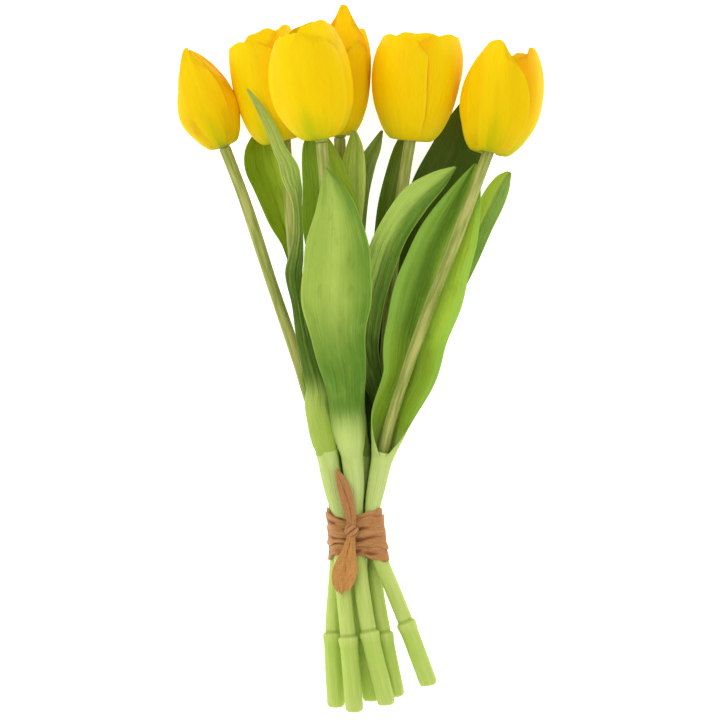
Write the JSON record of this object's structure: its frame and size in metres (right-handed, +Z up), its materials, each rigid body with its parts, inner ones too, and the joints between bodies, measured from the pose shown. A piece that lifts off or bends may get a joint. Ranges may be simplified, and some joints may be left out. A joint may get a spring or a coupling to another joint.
{
  "type": "bunch of tulips",
  "caption": "Bunch of cut yellow tulips with long green leaves, tied round the stems with a knotted paper ribbon and lying on its side.",
  "frame": {"origin": "middle of the bunch's outline, on the surface that it lies on", "axes": "+Y along the bunch from the cut ends to the heads, +X across it, +Z up from the surface"},
  "size_m": [0.2056, 0.4004, 0.0859],
  "materials": {
    "petals": "satin",
    "leaf": "satin",
    "stem": "satin",
    "ribbon": "matte"
  },
  "bodies": {
    "root": {"bloom_1": "petals", "bloom_2": "petals", "bloom_3": "petals", "bloom_4": "petals", "bloom_5": "petals", "bloom_6": "petals", "leaf_1": "leaf", "leaf_2": "leaf", "leaf_3": "leaf", "leaf_4": "leaf", "leaf_5": "leaf", "leaf_6": "leaf", "leaf_7": "leaf", "leaf_8": "leaf", "leaf_9": "leaf", "leaf_10": "leaf", "leaf_11": "leaf", "stem_1": "stem", "stem_2": "stem", "stem_3": "stem", "stem_4": "stem", "stem_5": "stem", "stem_6": "stem", "tie_ribbon": "ribbon"}
  },
  "joints": []
}
